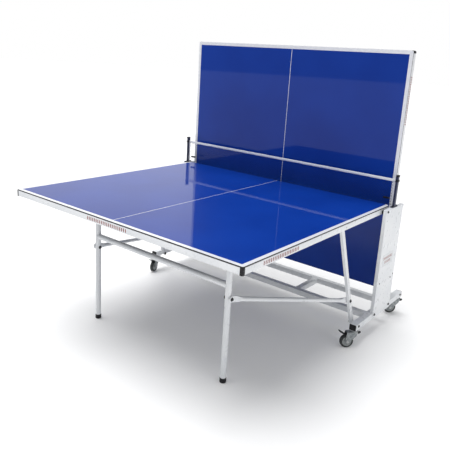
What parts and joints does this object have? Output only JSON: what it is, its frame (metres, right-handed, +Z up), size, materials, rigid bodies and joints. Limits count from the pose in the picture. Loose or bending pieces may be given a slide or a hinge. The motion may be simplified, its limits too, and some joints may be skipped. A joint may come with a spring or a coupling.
{
  "type": "folding table tennis table",
  "caption": "Rollaway table tennis table with castored base, side towers and net. The front half lies flat for play and the rear half stands upright as a rebound wall.",
  "frame": {"origin": "middle of the bounding box on the floor, at rest: front half flat, rear half upright", "axes": "+Z up, +Y along the table from the flat half's end line towards the upright half, +X to the right across the table"},
  "size_m": [1.6, 1.6958, 1.6058],
  "materials": {
    "white_paint": "satin white powder coat",
    "blue_top": "smooth glossy blue playing lacquer with painted white lines",
    "black_plastic": "moulded black",
    "navy_net": "knotted synthetic net",
    "white_tape": "white woven tape",
    "navy_post": "navy powder coat",
    "steel": "zinc plated",
    "caster_grey": "grey zinc plated pressing",
    "tyre": "dark grey rubber tread on a lighter hub"
  },
  "bodies": {
    "frame": {"right_base_tube": "white_paint", "left_base_tube": "white_paint", "front_cross_tube": "white_paint", "rear_cross_tube": "white_paint", "right_cross_tie": "white_paint", "left_cross_tie": "white_paint", "right_tower": "white_paint", "left_tower": "white_paint", "right_net_post": "navy_post", "left_net_post": "navy_post", "net_mesh": "navy_net", "net_tape": "white_tape"},
    "front_carriage": {"front_axle": "steel"},
    "front_half": {"front_panel": "blue_top", "front_right_side_rail": "white_paint", "front_left_side_rail": "white_paint", "front_end_rail": "white_paint", "front_inner_rail": "white_paint", "front_leg_hinge_rail": "white_paint", "front_right_corner_cap": "black_plastic", "front_left_corner_cap": "black_plastic"},
    "front_legs": {"front_right_leg": "white_paint", "front_left_leg": "white_paint", "front_leg_rail": "white_paint", "front_right_foot": "black_plastic", "front_left_foot": "black_plastic"},
    "front_rods": {"front_right_rod": "white_paint", "front_left_rod": "white_paint"},
    "front_struts": {"front_right_strut": "white_paint", "front_left_strut": "white_paint"},
    "rear_carriage": {"rear_axle": "steel"},
    "rear_half": {"rear_panel": "blue_top", "rear_right_side_rail": "white_paint", "rear_left_side_rail": "white_paint", "rear_end_rail": "white_paint", "rear_inner_rail": "white_paint", "rear_leg_hinge_rail": "white_paint", "rear_right_corner_cap": "black_plastic", "rear_left_corner_cap": "black_plastic"},
    "rear_legs": {"rear_right_leg": "white_paint", "rear_left_leg": "white_paint", "rear_leg_rail": "white_paint", "rear_right_foot": "black_plastic", "rear_left_foot": "black_plastic"},
    "rear_rods": {"rear_right_rod": "white_paint", "rear_left_rod": "white_paint"},
    "rear_struts": {"rear_right_strut": "white_paint", "rear_left_strut": "white_paint"},
    "front_right_caster": {"front_right_caster_fork": "caster_grey"},
    "front_right_wheel": {"front_right_caster_wheel": "tyre"},
    "front_right_pedal": {"front_right_brake_pedal": "black_plastic"},
    "front_left_caster": {"front_left_caster_fork": "caster_grey"},
    "front_left_wheel": {"front_left_caster_wheel": "tyre"},
    "front_left_pedal": {"front_left_brake_pedal": "black_plastic"},
    "rear_right_caster": {"rear_right_caster_fork": "caster_grey"},
    "rear_right_wheel": {"rear_right_caster_wheel": "tyre"},
    "rear_right_pedal": {"rear_right_brake_pedal": "black_plastic"},
    "rear_left_caster": {"rear_left_caster_fork": "caster_grey"},
    "rear_left_wheel": {"rear_left_caster_wheel": "tyre"},
    "rear_left_pedal": {"rear_left_brake_pedal": "black_plastic"}
  },
  "joints": [
    {"name": "front_drop", "type": "slide", "parent": "frame", "child": "front_carriage", "axis": [0, 0.0533, -0.9986], "range_m": [0, 0.41259]},
    {"name": "front_fold", "type": "hinge", "parent": "front_carriage", "child": "front_half", "pos_m": [0, 0.4339, 0.736], "axis": [-1, 0, 0], "range_deg": [0, 90]},
    {"name": "front_leg_fold", "type": "hinge", "parent": "front_half", "child": "front_legs", "pos_m": [0, -0.5391, 0.715], "axis": [1, 0, 0], "range_deg": [0, 90]},
    {"name": "front_rod_swing", "type": "hinge", "parent": "front_legs", "child": "front_rods", "pos_m": [0, -0.5391, 0.437], "axis": [-1, 0, 0], "range_deg": [0, 87.2]},
    {"name": "front_strut_swing", "type": "hinge", "parent": "front_half", "child": "front_struts", "pos_m": [0, -0.0001, 0.736], "axis": [1, 0, 0], "range_deg": [0, 49.74]},
    {"name": "rear_lift", "type": "slide", "parent": "frame", "child": "rear_carriage", "axis": [0, 0.0533, 0.9986], "range_m": [0, 0.41259]},
    {"name": "rear_fold", "type": "hinge", "parent": "rear_carriage", "child": "rear_half", "pos_m": [0, 0.5899, 0.324], "axis": [-1, 0, 0], "range_deg": [0, 90]},
    {"name": "rear_leg_fold", "type": "hinge", "parent": "rear_half", "child": "rear_legs", "pos_m": [0, 0.6109, 1.297], "axis": [1, 0, 0], "range_deg": [0, 90]},
    {"name": "rear_rod_swing", "type": "hinge", "parent": "rear_legs", "child": "rear_rods", "pos_m": [0, 0.6109, 1.019], "axis": [-1, 0, 0], "range_deg": [0, 87.2]},
    {"name": "rear_strut_swing", "type": "hinge", "parent": "rear_half", "child": "rear_struts", "pos_m": [0, 0.5899, 0.758], "axis": [1, 0, 0], "range_deg": [0, 49.74]},
    {"name": "front_right_swivel", "type": "hinge", "parent": "frame", "child": "front_right_caster", "pos_m": [0.775, 0.2229, 0.098], "axis": [0, 0, 1], "continuous": true},
    {"name": "front_right_roll", "type": "hinge", "parent": "front_right_caster", "child": "front_right_wheel", "pos_m": [0.74823, 0.19317, 0.038], "axis": [0.7431, -0.6691, 0], "continuous": true},
    {"name": "front_right_brake", "type": "hinge", "parent": "front_right_caster", "child": "front_right_pedal", "pos_m": [0.76831, 0.21547, 0.082], "axis": [0.7431, -0.6691, 0], "range_deg": [0, 3]},
    {"name": "front_left_swivel", "type": "hinge", "parent": "frame", "child": "front_left_caster", "pos_m": [-0.775, 0.2229, 0.098], "axis": [0, 0, 1], "continuous": true},
    {"name": "front_left_roll", "type": "hinge", "parent": "front_left_caster", "child": "front_left_wheel", "pos_m": [-0.76397, 0.18445, 0.038], "axis": [0.9613, 0.2756, 0], "continuous": true},
    {"name": "front_left_brake", "type": "hinge", "parent": "front_left_caster", "child": "front_left_pedal", "pos_m": [-0.77224, 0.21329, 0.082], "axis": [0.9613, 0.2756, 0], "range_deg": [0, 3]},
    {"name": "rear_right_swivel", "type": "hinge", "parent": "frame", "child": "rear_right_caster", "pos_m": [0.775, 0.8229, 0.098], "axis": [0, 0, 1], "continuous": true},
    {"name": "rear_right_roll", "type": "hinge", "parent": "rear_right_caster", "child": "rear_right_wheel", "pos_m": [0.74623, 0.79511, 0.038], "axis": [0.6947, -0.7193, 0], "continuous": true},
    {"name": "rear_right_brake", "type": "hinge", "parent": "rear_right_caster", "child": "rear_right_pedal", "pos_m": [0.76781, 0.81595, 0.082], "axis": [0.6947, -0.7193, 0], "range_deg": [0, 3]},
    {"name": "rear_left_swivel", "type": "hinge", "parent": "frame", "child": "rear_left_caster", "pos_m": [-0.775, 0.8229, 0.098], "axis": [0, 0, 1], "continuous": true},
    {"name": "rear_left_roll", "type": "hinge", "parent": "rear_left_caster", "child": "rear_left_wheel", "pos_m": [-0.75873, 0.78636, 0.038], "axis": [0.9135, 0.4067, 0], "continuous": true},
    {"name": "rear_left_brake", "type": "hinge", "parent": "rear_left_caster", "child": "rear_left_pedal", "pos_m": [-0.77093, 0.81376, 0.082], "axis": [0.9135, 0.4067, 0], "range_deg": [0, 3]}
  ],
  "couplings": [
    {"joint": "front_drop", "follows": "front_fold", "m_per_rad": 0.26265},
    {"joint": "front_leg_fold", "follows": "front_fold", "ratio": 1},
    {"joint": "front_rod_swing", "follows": "front_fold", "ratio": 0.96888},
    {"joint": "front_strut_swing", "follows": "front_fold", "ratio": 0.55266},
    {"joint": "rear_lift", "follows": "rear_fold", "m_per_rad": 0.26265},
    {"joint": "rear_leg_fold", "follows": "rear_fold", "ratio": 1},
    {"joint": "rear_rod_swing", "follows": "rear_fold", "ratio": 0.96888},
    {"joint": "rear_strut_swing", "follows": "rear_fold", "ratio": 0.55266}
  ]
}
